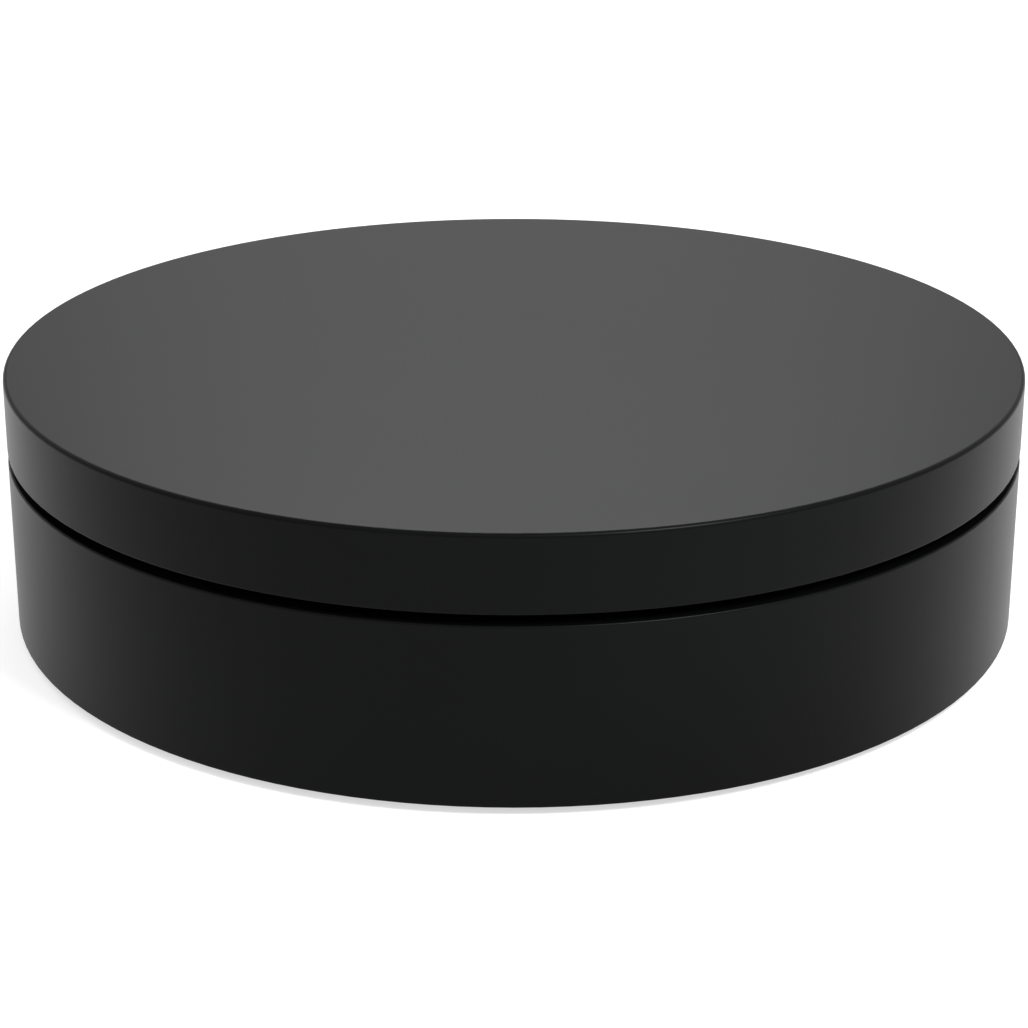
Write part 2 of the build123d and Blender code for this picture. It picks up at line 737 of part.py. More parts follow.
with BuildPart() as gearbox_housing:
    with BuildSketch(Plane.XY.offset(gearbox_bottom)) as gearbox_outline:
        with Locations((0, gearbox_middle)):
            RectangleRounded(gearbox_width, gearbox_length, gearbox_corner)
    extrude(amount=gearbox_inner_top - gearbox_bottom)
    with BuildSketch(Plane.XY.offset(gearbox_floor)) as gearbox_inside:
        with Locations((0, gearbox_middle)):
            RectangleRounded(gearbox_inner_width, gearbox_length - 2 * gearbox_wall, 1.0)
    extrude(amount=gearbox_inner_top - gearbox_floor, mode=Mode.SUBTRACT)
    with BuildSketch(Plane.XY.offset(gearbox_floor - 0.5)) as gearbox_posts:
        with Locations((0, gearbox_middle)):
            with GridLocations(gearbox_screw_x, gearbox_screw_y, 2, 2):
                Circle(gearbox_post_radius)
    extrude(amount=gearbox_inner_top - gearbox_floor + 0.5)
    with BuildSketch(Plane.XY.offset(gearbox_top - ear_thickness)) as ear_webs:
        with Locations((0, gearbox_middle)):
            with GridLocations(2 * gearbox_ear_x - 4.0, gearbox_ear_spacing, 2, 2):
                Rectangle(6.0, 2 * ear_radius - 1.0)
            with Locations((0, 0)):
                Rectangle(gearbox_inner_width, gearbox_length, mode=Mode.SUBTRACT)
    extrude(amount=gearbox_inner_top - gearbox_top + ear_thickness)
    with BuildSketch(Plane.XY.offset(gearbox_top - ear_thickness)) as ears:
        with Locations((0, gearbox_middle)):
            with GridLocations(2 * gearbox_ear_x, gearbox_ear_spacing, 2, 2):
                Circle(ear_radius)
    extrude(amount=ear_thickness)
    with BuildSketch(Plane.XY.offset(gearbox_top - ear_thickness)) as ear_holes:
        with Locations((0, gearbox_middle)):
            with GridLocations(2 * gearbox_ear_x, gearbox_ear_spacing, 2, 2):
                Circle(ear_hole_radius)
    extrude(amount=ear_thickness, mode=Mode.SUBTRACT)
    with BuildSketch(Plane.XY.offset(gearbox_inner_top)) as lid_screw_holes:
        with Locations((0, gearbox_middle)):
            with GridLocations(gearbox_screw_x, gearbox_screw_y, 2, 2):
                Circle(gearbox_screw_radius + still_clearance)
    extrude(amount=-gearbox_screw_depth, mode=Mode.SUBTRACT)
    with BuildSketch(Plane.XY.offset(gearbox_floor)) as floor_pin_holes:
        with Locations(idler_point, worm_gear_point):
            Circle(gear_pin_radius + still_clearance)
    extrude(amount=-pin_foot_depth, mode=Mode.SUBTRACT)
    with BuildSketch(Plane.XY.offset(gearbox_bottom)) as lower_bush_hole:
        Circle(lower_bush_radius + still_clearance)
    extrude(amount=gearbox_wall, mode=Mode.SUBTRACT)
    with BuildSketch(motor_plane(gearbox_front + gearbox_wall)) as motor_boss_hole:
        Circle(motor_boss_radius + still_clearance)
        with Locations(
            (motor_screw_offset, motor_screw_offset), (-motor_screw_offset, -motor_screw_offset)
        ):
            Circle(1.5)
    extrude(amount=gearbox_wall, mode=Mode.SUBTRACT)
write_part(gearbox_housing.part, "gearbox_housing")

with BuildPart() as gearbox_lid:
    with BuildSketch(Plane.XY.offset(gearbox_inner_top)) as lid_outline:
        with Locations((0, gearbox_middle)):
            RectangleRounded(gearbox_width, gearbox_length, gearbox_corner)
            with GridLocations(2 * gearbox_ear_x, gearbox_ear_spacing, 2, 2):
                Circle(ear_radius + 0.2, mode=Mode.SUBTRACT)
            with GridLocations(gearbox_screw_x, gearbox_screw_y, 2, 2):
                Circle(lid_hole_radius, mode=Mode.SUBTRACT)
        with Locations(idler_point, worm_gear_point):
            Circle(gear_pin_radius + still_clearance, mode=Mode.SUBTRACT)
        Circle(upper_bush_radius + still_clearance, mode=Mode.SUBTRACT)
    extrude(amount=gearbox_lid_thickness)
write_part(gearbox_lid.part, "gearbox_lid")

lid_screw_points = [
    (x, gearbox_middle + y)
    for x in (-gearbox_screw_x / 2, gearbox_screw_x / 2)
    for y in (-gearbox_screw_y / 2, gearbox_screw_y / 2)
]
gearbox_screws = pan_screws(
    Plane.XY.offset(gearbox_top),
    lid_screw_points,
    head_radius=2.2,
    head_height=1.2,
    shank_radius=gearbox_screw_radius,
    shank_length=gearbox_screw_depth,
)
write_part(gearbox_screws, "gearbox_screws")

with BuildPart() as lower_bush:
    with BuildSketch(Plane.XY.offset(gearbox_bottom)) as lower_bush_barrel:
        Circle(lower_bush_radius)
    extrude(amount=gearbox_wall)
    with BuildSketch(Plane.XY.offset(gearbox_floor)) as lower_bush_collar:
        Circle(lower_bush_radius + 1.3)
    extrude(amount=lower_bush_flange)
    with BuildSketch(Plane.XY.offset(gearbox_bottom)) as lower_bush_bore:
        Circle(journal_radius + running_clearance)
    extrude(amount=gearbox_wall + lower_bush_flange, mode=Mode.SUBTRACT)
write_part(lower_bush.part, "lower_bush")

with BuildPart() as upper_bush:
    with BuildSketch(Plane.XY.offset(output_sleeve_top + 0.1)) as upper_bush_collar:
        Circle(upper_bush_flange)
    extrude(amount=gearbox_inner_top - output_sleeve_top - 0.1)
    with BuildSketch(Plane.XY.offset(gearbox_inner_top)) as upper_bush_barrel:
        Circle(upper_bush_radius)
    extrude(amount=upper_bush_top - gearbox_inner_top)
    with BuildSketch(Plane.XY.offset(output_sleeve_top)) as upper_bush_bore:
        Circle(shaft_radius + running_clearance)
    extrude(amount=upper_bush_top - output_sleeve_top, mode=Mode.SUBTRACT)
write_part(upper_bush.part, "upper_bush")

# ---------------------------------------------------------------- base housing
# The drum's wall and deck in one moulding, open at the bottom. The deck carries the rollers in
# four pockets and the gearbox on four standoffs, and six posts take the cover's screws.
pocket_length = roller_width + 0.8
pocket_width = 2 * roller_radius + 1.2
pocket_wall = 1.6
pocket_floor = roller_axle_z - roller_radius - 0.6
lug_thickness = 1.8
lug_offset = pocket_length / 2 + lug_thickness / 2
lug_width = 5.6
lug_top = roller_axle_z + 2.3
axle_half_length = pocket_length / 2 + lug_thickness
deck_hole_radius = 8.0
cover_post_radius = 4.2
cover_screw_radius = 1.4
deck_rib_height = 2.4
wall_overlap = 0.2
panel_block_margin = 3.0
cover_screw_angles = [60.0 * n for n in range(cover_screw_count)]
recess_block = recess_width + 2 * panel_block_margin
switch_cut_width = 19.4
switch_cut_height = 13.0
jack_thread_radius = 4.0
deck_rib_angles = [22.5 + 45 * n for n in range(8)]


def roller_plane(angle):
    """A plane at a roller's centre, its normal along the roller's axis, away from the middle."""
    a = radians(angle)
    return Plane(
        origin=(roller_circle * cos(a), roller_circle * sin(a), roller_axle_z),
        x_dir=(-sin(a), cos(a), 0),
        z_dir=(cos(a), sin(a), 0),
    )


panel_plane = Plane(origin=(0, recess_face, recess_z), x_dir=(-1, 0, 0), z_dir=(0, 1, 0))

with BuildPart() as base_housing:
    with BuildSketch(Plane.XY.offset(base_bottom)) as drum_outline:
        Circle(stand_radius)
    extrude(amount=base_height)
    with BuildSketch(Plane.XY.offset(base_bottom)) as drum_inside:
        Circle(stand_radius - wall)
    extrude(amount=base_height - deck_thickness, mode=Mode.SUBTRACT)
    with BuildSketch(Plane.XY.offset(deck_underside - deck_rib_height)) as deck_ribs:
        for angle in deck_rib_angles:
            with PolarLocations(71.5, 1, start_angle=angle):
                Rectangle(53.0, 1.6)
    extrude(amount=deck_rib_height + wall_overlap)
    with BuildSketch(Plane.XY.offset(pocket_floor - pocket_wall)) as pocket_outsides:
        with PolarLocations(roller_circle, roller_count, start_angle=45):
            Rectangle(pocket_length + 2 * pocket_wall, pocket_width + 2 * pocket_wall)
    extrude(amount=deck_underside - pocket_floor + pocket_wall + wall_overlap)
    with BuildSketch(Plane.XY.offset(pocket_floor)) as pocket_insides:
        with PolarLocations(roller_circle, roller_count, start_angle=45):
            Rectangle(pocket_length, pocket_width)
    extrude(amount=base_top - pocket_floor, mode=Mode.SUBTRACT)
    with BuildSketch(Plane.XY.offset(base_top - wall_overlap)) as roller_lugs:
        with PolarLocations(roller_circle, roller_count, start_angle=45):
            with GridLocations(2 * lug_offset, 1, 2, 1):
                Rectangle(lug_thickness, lug_width)
    extrude(amount=lug_top - base_top + wall_overlap)
    for angle in roller_angles:
        with BuildSketch(roller_plane(angle).offset(-axle_half_length - 1)) as axle_slots:
            Circle(roller_pin_radius + still_clearance)
            with Locations((0, 2.0)):
                Rectangle(2 * roller_pin_radius - 0.3, 4.0)
        extrude(amount=2 * axle_half_length + 2, mode=Mode.SUBTRACT)
    with BuildSketch(Plane.XY.offset(cover_boss_top)) as cover_posts:
        with PolarLocations(cover_screw_circle, cover_screw_count):
            Circle(cover_post_radius)
            with Locations((5.5, 0)):
                Rectangle(8.0, 2.0)
    extrude(amount=deck_underside - cover_boss_top + wall_overlap)
    with BuildSketch(Plane.XY.offset(cover_boss_top)) as cover_post_holes:
        with PolarLocations(cover_screw_circle, cover_screw_count):
            Circle(cover_screw_radius + still_clearance)
    extrude(amount=12.0, mode=Mode.SUBTRACT)
    with BuildSketch(Plane.XY.offset(gearbox_top)) as standoffs:
        with Locations((0, gearbox_middle)):
            with GridLocations(2 * gearbox_ear_x, gearbox_ear_spacing, 2, 2):
                Circle(ear_radius)
    extrude(amount=gearbox_standoff + wall_overlap)
    with BuildSketch(Plane.XY.offset(gearbox_top)) as standoff_holes:
        with Locations((0, gearbox_middle)):
            with GridLocations(2 * gearbox_ear_x, gearbox_ear_spacing, 2, 2):
                Circle(mount_screw_radius + still_clearance)
    extrude(amount=3.4, mode=Mode.SUBTRACT)
    with BuildSketch(Plane.XY.offset(deck_underside)) as deck_hole:
        Circle(deck_hole_radius)
    extrude(amount=deck_thickness, mode=Mode.SUBTRACT)
    panel_block_z = recess_z - recess_height / 2 - panel_block_margin
    with BuildSketch(Plane.XY.offset(panel_block_z)) as panel_block:
        with Locations((0, (panel_inner + stand_radius) / 2)):
            Rectangle(recess_block, stand_radius - panel_inner)
        Circle(stand_radius - wall / 2, mode=Mode.INTERSECT)
    extrude(amount=recess_height + 2 * panel_block_margin)
    with BuildSketch(panel_plane) as panel_recess:
        RectangleRounded(recess_width, recess_height, 2.0)
    extrude(amount=6.0, mode=Mode.SUBTRACT)
    with BuildSketch(panel_plane) as panel_holes:
        with Locations((-switch_x, 0)):
            Rectangle(switch_cut_width, switch_cut_height)
        with Locations((-jack_x, 0)):
            Circle(jack_thread_radius)
    extrude(amount=-panel_thickness, mode=Mode.SUBTRACT)
    rim_edges = base_housing.edges().filter_by(GeomType.CIRCLE).group_by(SortBy.RADIUS)[-1]
    fillet(rim_edges.sort_by(Axis.Z)[-1], small_round)
    rim_edges = base_housing.edges().filter_by(GeomType.CIRCLE).group_by(SortBy.RADIUS)[-1]
    fillet(rim_edges.sort_by(Axis.Z)[0], small_round)
write_part(base_housing.part, "base_housing")

mount_screw_plane = Plane(
    origin=(0, gearbox_middle, gearbox_top - ear_thickness), x_dir=(1, 0, 0), z_dir=(0, 0, -1)
)
gearbox_mount_screws = pan_screws(
    mount_screw_plane,
    [
        (x, y)
        for x in (-gearbox_ear_x, gearbox_ear_x)
        for y in (-gearbox_ear_spacing / 2, gearbox_ear_spacing / 2)
    ],
    head_radius=2.8,
    head_height=1.9,
    shank_radius=mount_screw_radius,
    shank_length=ear_thickness + 3.2,
)
write_part(gearbox_mount_screws, "gearbox_mount_screws")

# ---------------------------------------------------------------- rollers and their axles
# Four acetal wheels that carry the plate's track. Each turns on a steel pin snapped into two lugs.
dish_outer_radius = 5.2
dish_inner_radius = 2.6
dish_depth = 1.2

for index, angle in enumerate(roller_angles, start=1):
    with BuildPart() as roller:
        with BuildSketch(roller_plane(angle).offset(-roller_width / 2)) as roller_rim:
            Circle(roller_radius)
        extrude(amount=roller_width)
        rim_edges = roller.edges().filter_by(GeomType.CIRCLE)
        fillet(rim_edges, 0.5)
        for side in (-1, 1):
            with BuildSketch(roller_plane(angle).offset(side * roller_width / 2)) as roller_dish:
                Circle(dish_outer_radius)
                Circle(dish_inner_radius, mode=Mode.SUBTRACT)
            extrude(amount=-side * dish_depth, mode=Mode.SUBTRACT)
        with BuildSketch(roller_plane(angle).offset(-roller_width / 2)) as roller_bore:
            Circle(roller_pin_radius + running_clearance)
        extrude(amount=roller_width, mode=Mode.SUBTRACT)
    write_part(roller.part, f"roller_{index}")

    with BuildPart() as roller_axle:
        with BuildSketch(roller_plane(angle).offset(-axle_half_length)) as axle_section:
            Circle(roller_pin_radius)
        extrude(amount=2 * axle_half_length)
        chamfer(roller_axle.edges().filter_by(GeomType.CIRCLE), 0.2)
    write_part(roller_axle.part, f"roller_axle_{index}")

# ---------------------------------------------------------------- bottom cover, screws and feet
cover_radius = stand_radius - wall - 0.3
cover_screw_head = 2.9
cover_sink_radius = 3.4
cover_sink_depth = 2.2
cover_pad_radius = 5.4
cover_hole_radius = 1.7
foot_recess_depth = foot_thickness - foot_proud
foot_angles = [45.0 + 90.0 * n for n in range(foot_count)]

with BuildPart() as bottom_cover:
    with BuildSketch(Plane.XY.offset(base_bottom)) as cover_outline:
        Circle(cover_radius)
    extrude(amount=cover_thickness)
    with BuildSketch(Plane.XY.offset(cover_top)) as screw_pads:
        with PolarLocations(cover_screw_circle, cover_screw_count):
            Circle(cover_pad_radius)
    extrude(amount=cover_boss_top - cover_top)
    with BuildSketch(Plane.XY.offset(base_bottom)) as screw_sinks:
        with PolarLocations(cover_screw_circle, cover_screw_count):
            Circle(cover_sink_radius)
    extrude(amount=cover_sink_depth, mode=Mode.SUBTRACT)
    with BuildSketch(Plane.XY.offset(base_bottom)) as screw_clear_holes:
        with PolarLocations(cover_screw_circle, cover_screw_count):
            Circle(cover_hole_radius)
    extrude(amount=cover_boss_top - base_bottom, mode=Mode.SUBTRACT)
    with BuildSketch(Plane.XY.offset(base_bottom)) as foot_recesses:
        with PolarLocations(foot_circle, foot_count, start_angle=45):
            Circle(foot_radius + 0.2)
    extrude(amount=foot_recess_depth, mode=Mode.SUBTRACT)
write_part(bottom_cover.part, "bottom_cover")

cover_screw_plane = Plane(
    origin=(0, 0, base_bottom + cover_sink_depth), x_dir=(1, 0, 0), z_dir=(0, 0, -1)
)
cover_screws = pan_screws(
    cover_screw_plane,
    [polar(cover_screw_circle, angle) for angle in cover_screw_angles],
    head_radius=cover_screw_head,
    head_height=1.8,
    shank_radius=cover_screw_radius,
    shank_length=11.0,
)
write_part(cover_screws, "cover_screws")

for index, angle in enumerate(foot_angles, start=1):
    with BuildPart() as foot:
        with BuildSketch(Plane.XY) as foot_outline:
            with Locations(polar(foot_circle, angle)):
                Circle(foot_radius)
        extrude(amount=foot_thickness)
        fillet(foot.edges().filter_by(GeomType.CIRCLE).sort_by(Axis.Z)[0], 0.5)
    write_part(foot.part, f"foot_{index}")

# ---------------------------------------------------------------- rocker switch
# A snap-in rocker switch, its long side level. The rocker tips about an upright pin in its middle.
bezel_width = 21.0
bezel_height = 15.0
bezel_thickness = 1.7
switch_body_width = 19.2
switch_body_height = 12.8
switch_depth = 11.0
rocker_width = 14.6
rocker_height = 10.6
rocker_tilt = 11.0
rocker_pivot_y = recess_face - 2.0
rocker_pin_radius = 1.2
switch_opening_width = 16.8
switch_opening_height = 11.0
switch_opening_depth = 7.0
tab_offset = 4.0
tab_length = 7.5
tab_width = 4.8
tab_thickness = 0.8
tab_seat = 1.5
rocker_end_y = 5.0
rocker_middle_y = 3.4
rocker_shoulder = (6.6, -0.6)
rocker_heel = (2.0, -3.2)
rocker_pin_proud = 0.7

switch_plane = Plane(
    origin=(switch_x, recess_face, recess_z), x_dir=(-1, 0, 0), z_dir=(0, 1, 0)
)
switch_rear = recess_face - switch_depth

with BuildPart() as switch_body:
    with BuildSketch(switch_plane) as bezel:
        RectangleRounded(bezel_width, bezel_height, 1.2)
    extrude(amount=bezel_thickness)
    fillet(switch_body.faces().sort_by(Axis.Y)[-1].edges(), 0.5)
    with BuildSketch(switch_plane) as switch_block:
        Rectangle(switch_body_width, switch_body_height)
    extrude(amount=-switch_depth)
    with BuildSketch(switch_plane.offset(bezel_thickness)) as switch_opening:
        Rectangle(switch_opening_width, switch_opening_height)
    extrude(amount=-bezel_thickness - switch_opening_depth, mode=Mode.SUBTRACT)
    with BuildSketch(Plane.XY.offset(recess_z - rocker_height / 2 - 0.75)) as pivot_holes:
        with Locations((switch_x, rocker_pivot_y)):
            Circle(rocker_pin_radius + running_clearance)
    extrude(amount=rocker_height + 1.5, mode=Mode.SUBTRACT)
    with BuildSketch(switch_plane.offset(-switch_depth)) as tab_slots:
        with GridLocations(2 * tab_offset, 1, 2, 1):
            Rectangle(tab_thickness, tab_width)
    extrude(amount=tab_seat, mode=Mode.SUBTRACT)
write_part(switch_body.part, "switch_body")

rocker_plane = Plane.XY.offset(recess_z - rocker_height / 2)
with BuildPart() as rocker_button:
    with BuildSketch(rocker_plane) as rocker_profile:
        with BuildLine():
            Polyline(
                (-rocker_width / 2, rocker_end_y),
                (0, rocker_middle_y),
                (rocker_width / 2, rocker_end_y),
                rocker_shoulder,
                rocker_heel,
                (-rocker_heel[0], rocker_heel[1]),
                (-rocker_shoulder[0], rocker_shoulder[1]),
                close=True,
            )
        make_face()
    extrude(amount=rocker_height)
    face_edges = rocker_button.edges().filter_by(Axis.Z).sort_by(Axis.Y)[-2:]
    fillet(face_edges, 0.5)
    with BuildSketch(rocker_plane.offset(-rocker_pin_proud)) as rocker_pin:
        Circle(rocker_pin_radius)
    extrude(amount=rocker_height + 2 * rocker_pin_proud)
placed_rocker = rocker_button.part.rotate(Axis.Z, rocker_tilt)
placed_rocker = placed_rocker.translate((switch_x, rocker_pivot_y, 0))
write_part(placed_rocker, "rocker_button")

with BuildPart() as switch_tabs:
    with BuildSketch(switch_plane.offset(-switch_depth + tab_seat)) as tab_sections:
        with GridLocations(2 * tab_offset, 1, 2, 1):
            Rectangle(tab_thickness, tab_width)
    extrude(amount=-tab_length - tab_seat)
write_part(switch_tabs.part, "switch_tabs")

# ---------------------------------------------------------------- power inlet
# A panel socket for a 5.5 mm barrel plug with a 2 mm centre pin, held by a nut inside the wall.
jack_flange_radius = 5.6
jack_flange_thickness = 1.6
jack_bore_radius = 2.85
jack_bore_depth = 10.0
jack_depth = 12.0
jack_pin_radius = 1.0
jack_pin_root = 1.3
jack_nut_flats = 11.0
jack_nut_thickness = 2.2
jack_tab_offset = 2.4
jack_tab_length = 5.0
jack_tab_thickness = 0.5
jack_tab_width = 2.2
jack_tab_seat = 1.2
jack_pin_tail = 0.4
jack_pin_proud = 0.4

jack_plane = Plane(origin=(jack_x, recess_face, recess_z), x_dir=(-1, 0, 0), z_dir=(0, 1, 0))
jack_mouth = recess_face + jack_flange_thickness

with BuildPart() as jack_body:
    with BuildSketch(jack_plane) as jack_flange:
        Circle(jack_flange_radius)
    extrude(amount=jack_flange_thickness)
    fillet(jack_body.edges().filter_by(GeomType.CIRCLE).sort_by(Axis.Y)[-1], 0.4)
    with BuildSketch(jack_plane) as jack_barrel:
        Circle(jack_thread_radius - still_clearance)
    extrude(amount=-jack_depth)
    with BuildSketch(jack_plane.offset(jack_flange_thickness)) as jack_bore:
        Circle(jack_bore_radius)
    extrude(amount=-jack_bore_depth, mode=Mode.SUBTRACT)
    with BuildSketch(jack_plane.offset(-jack_depth)) as jack_pin_seat:
        Circle(jack_pin_root + still_clearance)
    extrude(amount=jack_depth - 2.0, mode=Mode.SUBTRACT)
    with BuildSketch(jack_plane.offset(-jack_depth)) as jack_tab_slot:
        with Locations((-jack_tab_offset, 0)):
            Rectangle(jack_tab_thickness, jack_tab_width)
    extrude(amount=jack_tab_seat, mode=Mode.SUBTRACT)
write_part(jack_body.part, "jack_body")

jack_bore_floor = jack_flange_thickness - jack_bore_depth
with BuildPart() as jack_pin:
    with BuildSketch(jack_plane.offset(-jack_depth - jack_pin_tail)) as pin_root:
        Circle(jack_pin_root)
    extrude(amount=jack_depth + jack_pin_tail + jack_bore_floor)
    with BuildSketch(jack_plane.offset(jack_bore_floor)) as pin_section:
        Circle(jack_pin_radius)
    extrude(amount=jack_pin_proud - jack_bore_floor)
    fillet(jack_pin.edges().filter_by(GeomType.CIRCLE).sort_by(Axis.Y)[-1], 0.4)
    with BuildSketch(jack_plane.offset(-jack_depth)) as pin_tab:
        with Locations((0.5, 0)):
            Rectangle(jack_tab_thickness, 1.6)
    extrude(amount=-jack_tab_length)
write_part(jack_pin.part, "jack_pin")

with BuildPart() as jack_sleeve_tab:
    with BuildSketch(jack_plane.offset(-jack_depth + jack_tab_seat)) as sleeve_tab_section:
        with Locations((-jack_tab_offset, 0)):
            Rectangle(jack_tab_thickness, jack_tab_width)
    extrude(amount=-jack_tab_length - jack_tab_seat)
write_part(jack_sleeve_tab.part, "jack_sleeve_tab")

with BuildPart() as jack_nut:
    with BuildSketch(jack_plane.offset(-panel_thickness)) as nut_outline:
        RegularPolygon(jack_nut_flats / 2, 6, major_radius=False)
        Circle(jack_thread_radius, mode=Mode.SUBTRACT)
    extrude(amount=-jack_nut_thickness)
write_part(jack_nut.part, "jack_nut")

# ---------------------------------------------------------------- internal leads
# Insulated leads from the inlet to the switch, from the switch to the motor and from the inlet to
# the motor. They rest on the cover.
lead_radius = 0.8
lead_bend = 3.2
lead_rest_z = cover_top + lead_radius + 0.05
lead_side_x = 31.0
jack_tab_end = recess_face - jack_depth - jack_tab_length
switch_tab_end = recess_face - switch_depth - tab_length
motor_tab_end = terminal_end


def lead(points, name):
    """A round lead along straight runs joined by tangent arcs."""
    with BuildPart() as tube:
        with BuildLine() as route:
            FilletPolyline(*points, radius=lead_bend)
        start = Vector(*points[0])
        with BuildSketch(Plane(origin=start, z_dir=Vector(*points[1]) - start)):
            Circle(lead_radius)
        sweep(path=route.line)
    write_part(tube.part, name)


lead(
    [
        (jack_x - 0.5, jack_tab_end, recess_z),
        (jack_x - 0.5, 70.0, recess_z),
        (jack_x - 6.0, 68.0, lead_rest_z),
        (switch_x + 10.0, 66.0, lead_rest_z),
        (switch_x + tab_offset, 68.0, recess_z),
        (switch_x + tab_offset, switch_tab_end, recess_z),
    ],
    "lead_inlet_switch",
)
lead(
    [
        (switch_x - tab_offset, switch_tab_end, recess_z),
        (switch_x - tab_offset, 68.0, recess_z),
        (-lead_side_x, 56.0, lead_rest_z),
        (-lead_side_x + 0.5, -62.0, lead_rest_z),
        (worm_x - terminal_offset - 6.0, -80.0, worm_z - 3.0),
        (worm_x - terminal_offset, -78.5, worm_z),
        (worm_x - terminal_offset, motor_tab_end, worm_z),
    ],
    "lead_switch_motor",
)
lead(
    [
        (jack_x + jack_tab_offset, jack_tab_end, recess_z),
        (jack_x + jack_tab_offset, 70.0, recess_z),
        (lead_side_x, 56.0, lead_rest_z),
        (lead_side_x - 0.5, -62.0, lead_rest_z),
        (worm_x + terminal_offset + 6.0, -80.0, worm_z - 3.0),
        (worm_x + terminal_offset, -78.5, worm_z),
        (worm_x + terminal_offset, motor_tab_end, worm_z),
    ],
    "lead_inlet_motor",
)
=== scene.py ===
import json
import math

import bmesh
import bpy
import numpy as np
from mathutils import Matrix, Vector


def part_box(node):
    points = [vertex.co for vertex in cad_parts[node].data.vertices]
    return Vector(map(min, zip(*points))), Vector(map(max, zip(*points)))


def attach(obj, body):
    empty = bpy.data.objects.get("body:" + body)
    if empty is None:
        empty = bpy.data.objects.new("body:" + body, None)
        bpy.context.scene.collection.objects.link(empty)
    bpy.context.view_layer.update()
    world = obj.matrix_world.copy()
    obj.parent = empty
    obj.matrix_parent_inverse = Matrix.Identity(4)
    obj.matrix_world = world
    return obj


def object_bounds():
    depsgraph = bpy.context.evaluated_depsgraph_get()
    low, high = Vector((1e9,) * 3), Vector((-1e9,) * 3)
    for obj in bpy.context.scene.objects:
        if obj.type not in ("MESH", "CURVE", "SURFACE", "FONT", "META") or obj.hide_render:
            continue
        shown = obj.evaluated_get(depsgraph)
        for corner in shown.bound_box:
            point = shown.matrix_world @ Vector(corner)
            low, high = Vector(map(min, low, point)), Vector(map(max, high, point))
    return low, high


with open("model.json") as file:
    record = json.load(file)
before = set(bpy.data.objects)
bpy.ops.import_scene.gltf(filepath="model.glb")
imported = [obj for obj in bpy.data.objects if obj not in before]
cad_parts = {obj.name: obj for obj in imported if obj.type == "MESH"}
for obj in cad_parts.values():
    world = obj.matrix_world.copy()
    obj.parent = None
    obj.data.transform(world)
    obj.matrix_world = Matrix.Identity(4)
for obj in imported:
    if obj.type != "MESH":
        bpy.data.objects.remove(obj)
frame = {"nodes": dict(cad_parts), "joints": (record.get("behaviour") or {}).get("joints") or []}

cad_low, cad_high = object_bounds()
nodes = frame["nodes"]

# ------------------------------------------------------------------ studio
# The stand is shown on a seamless white table, with one large soft light and one small one and
# white all round, so that its black plastic is drawn only by what it reflects.


def hex_linear(code):
    """An sRGB hex colour as linear RGBA: the sRGB curve undone channel by channel."""
    values = np.array([int(code[i:i + 2], 16) for i in (1, 3, 5)]) / 255
    linear = np.where(values <= 0.04045, values / 12.92, ((values + 0.055) / 1.055) ** 2.4)
    return (*linear.tolist(), 1.0)


def add_node(tree, kind, settings=None, inputs=None):
    """Adds one shader node. An input may be a value or another node's output to link from."""
    node = tree.nodes.new(kind)
    for key, value in (settings or {}).items():
        setattr(node, key, value)
    for key, value in (inputs or {}).items():
        if isinstance(value, bpy.types.NodeSocket):
            tree.links.new(value, node.inputs[key])
        else:
            node.inputs[key].default_value = value
    return node


scene = bpy.context.scene
scene.view_settings.view_transform = "Standard"

# the tent's brightness rises with height, because it is lit from above
world = bpy.data.worlds.new("white_tent")
world.use_nodes = True
scene.world = world
tent = world.node_tree
tent.nodes.clear()
sky_way = add_node(tent, "ShaderNodeTexCoord")
sky_split = add_node(tent, "ShaderNodeSeparateXYZ", inputs={0: sky_way.outputs["Generated"]})
sky_level = add_node(
    tent,
    "ShaderNodeMapRange",
    {"interpolation_type": "SMOOTHSTEP"},
    {
        "Value": sky_split.outputs["Z"],
        "From Min": 0.0,
        "From Max": 0.6,
        "To Min": 0.4,
        "To Max": 1.0,
    },
)
sky_light = add_node(
    tent,
    "ShaderNodeBackground",
    inputs={"Color": (1, 1, 1, 1), "Strength": sky_level.outputs["Result"]},
)
add_node(tent, "ShaderNodeOutputWorld", inputs={"Surface": sky_light.outputs[0]})

table_size = 60.0
half = table_size / 2
table_mesh = bpy.data.meshes.new("studio_table")
table_mesh.from_pydata(
    [(-half, -half, 0), (half, -half, 0), (half, half, 0), (-half, half, 0)], [], [(0, 1, 2, 3)]
)
table = bpy.data.objects.new("studio_table", table_mesh)
scene.collection.objects.link(table)
table_paper = bpy.data.materials.new("white paper sweep")
table_paper.use_nodes = True
paper_tree = table_paper.node_tree
paper_tree.nodes.clear()
paper = add_node(
    paper_tree,
    "ShaderNodeBsdfPrincipled",
    inputs={
        "Base Color": hex_linear("#C8C8C8"),
        "Roughness": 0.9,
        "Specular IOR Level": 0.0,
        "Emission Color": (1, 1, 1, 1),
        "Emission Strength": 0.6,
    },
)
add_node(paper_tree, "ShaderNodeOutputMaterial", inputs={"Surface": paper.outputs[0]})
table_mesh.materials.append(table_paper)


def softbox(name, width, height, power, place, aim):
    """A rectangular soft light at a place, turned to face the aim point."""
    light = bpy.data.lights.new(name, "AREA")
    light.shape = "RECTANGLE"
    light.size = width
    light.size_y = height
    light.energy = power
    lamp = bpy.data.objects.new(name, light)
    lamp.location = place
    lamp.rotation_euler = (Vector(aim) - Vector(place)).to_track_quat("-Z", "Y").to_euler()
    scene.collection.objects.link(lamp)


